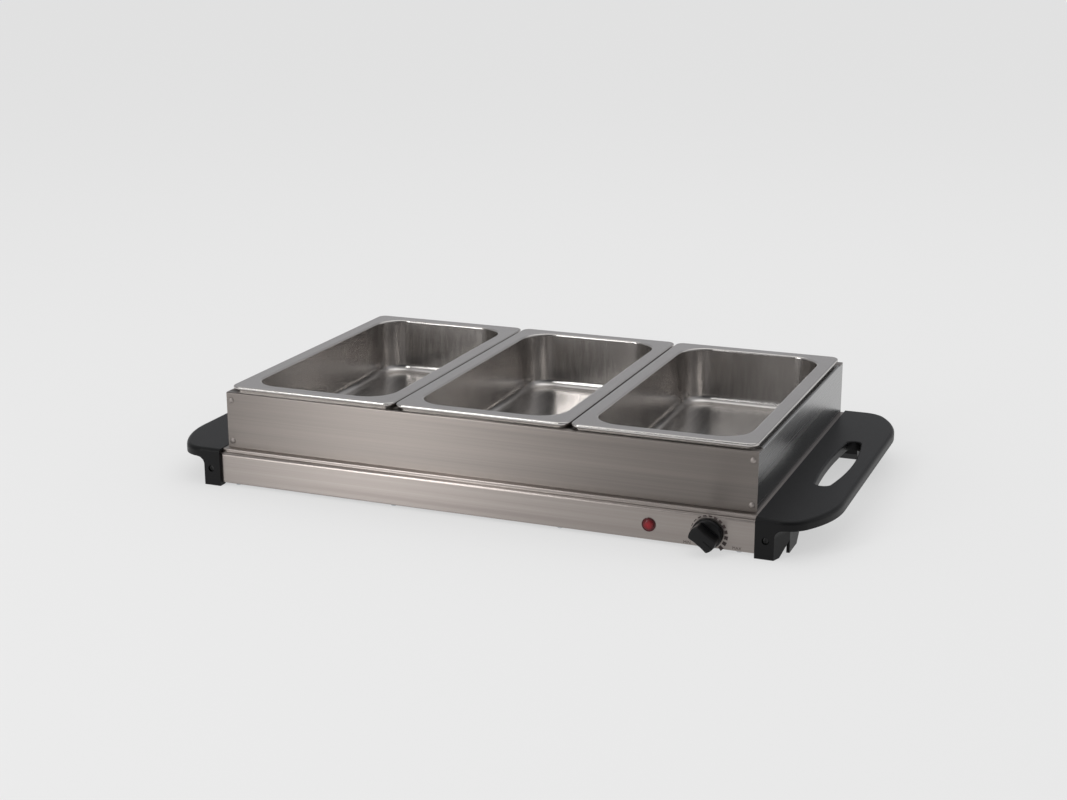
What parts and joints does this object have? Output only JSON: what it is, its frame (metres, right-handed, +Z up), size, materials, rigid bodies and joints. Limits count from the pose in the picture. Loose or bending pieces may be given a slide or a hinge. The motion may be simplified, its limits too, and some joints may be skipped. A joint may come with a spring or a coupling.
{
  "type": "electric food warmer tray",
  "caption": "Low heated steel tray with black end handles and a control knob, carrying a lift-off frame with open rectangular food pans.",
  "frame": {"origin": "on the ground, under the middle of the tray", "axes": "+Z up, +X along the tray to the right as seen from the knob side, -Y towards the knob side"},
  "size_m": [0.685, 0.403, 0.101],
  "materials": {
    "brushed_tray_steel": "stainless sheet brushed lengthwise",
    "brushed_frame_steel": "stainless sheet brushed lengthwise",
    "pan_steel": "pressed stainless steel, satin",
    "rivet_steel": "polished dome",
    "zinc_sheet": "zinc coated sheet",
    "zinc_screw": "zinc plated",
    "black_screw": "steel with a black coating",
    "brass_screw": "plain",
    "black_moulding": "fine moulded grain, heat resistant",
    "knob_plastic": "satin moulded",
    "red_lens": "translucent red, ribbed",
    "element_tube": "oxidised steel tube",
    "ceramic": "unglazed ceramic",
    "gland_rubber": "moulded rubber",
    "wire_sleeve": "glass fibre sleeve"
  },
  "bodies": {
    "base": {"tray_shell": "brushed_tray_steel", "bottom_cover": "zinc_sheet", "cover_screws": "zinc_screw", "left_handle": "black_moulding", "right_handle": "black_moulding", "handle_screws": "black_screw", "corner_brackets": "zinc_sheet", "clamp_screws": "zinc_screw", "heating_element": "element_tube", "element_terminals": "ceramic", "element_clips": "zinc_sheet", "heat_shield": "zinc_sheet", "thermal_cutout": "ceramic", "cutout_strap": "zinc_sheet", "thermostat": "ceramic", "thermostat_screws": "zinc_screw", "lamp_lens": "red_lens", "lamp_holder": "black_moulding", "lamp_clip": "zinc_sheet", "terminal_block": "ceramic", "terminal_screws": "brass_screw", "earth_stud": "zinc_screw", "earth_nut": "brass_screw", "cord_gland": "gland_rubber", "internal_wires": "wire_sleeve"},
    "knob": {"control_knob": "knob_plastic", "thermostat_shaft": "zinc_screw"},
    "pan_frame": {"front_panel": "brushed_frame_steel", "rear_panel": "brushed_frame_steel", "left_panel": "brushed_frame_steel", "right_panel": "brushed_frame_steel", "left_cross_bar": "brushed_frame_steel", "right_cross_bar": "brushed_frame_steel", "frame_rivets": "rivet_steel"},
    "pan_left": {"left_pan": "pan_steel"},
    "pan_centre": {"centre_pan": "pan_steel"},
    "pan_right": {"right_pan": "pan_steel"}
  },
  "joints": [
    {"name": "knob_turn", "type": "hinge", "parent": "base", "child": "knob", "pos_m": [0.233, -0.186, 0.017], "axis": [0, 1, 0], "range_deg": [-78, 192]},
    {"name": "frame_lift", "type": "slide", "parent": "base", "child": "pan_frame", "axis": [0, 0, 1], "range_m": [0, 0.08]},
    {"name": "left_pan_lift", "type": "slide", "parent": "pan_frame", "child": "pan_left", "axis": [0, 0, 1], "range_m": [0, 0.1]},
    {"name": "centre_pan_lift", "type": "slide", "parent": "pan_frame", "child": "pan_centre", "axis": [0, 0, 1], "range_m": [0, 0.1]},
    {"name": "right_pan_lift", "type": "slide", "parent": "pan_frame", "child": "pan_right", "axis": [0, 0, 1], "range_m": [0, 0.1]}
  ]
}
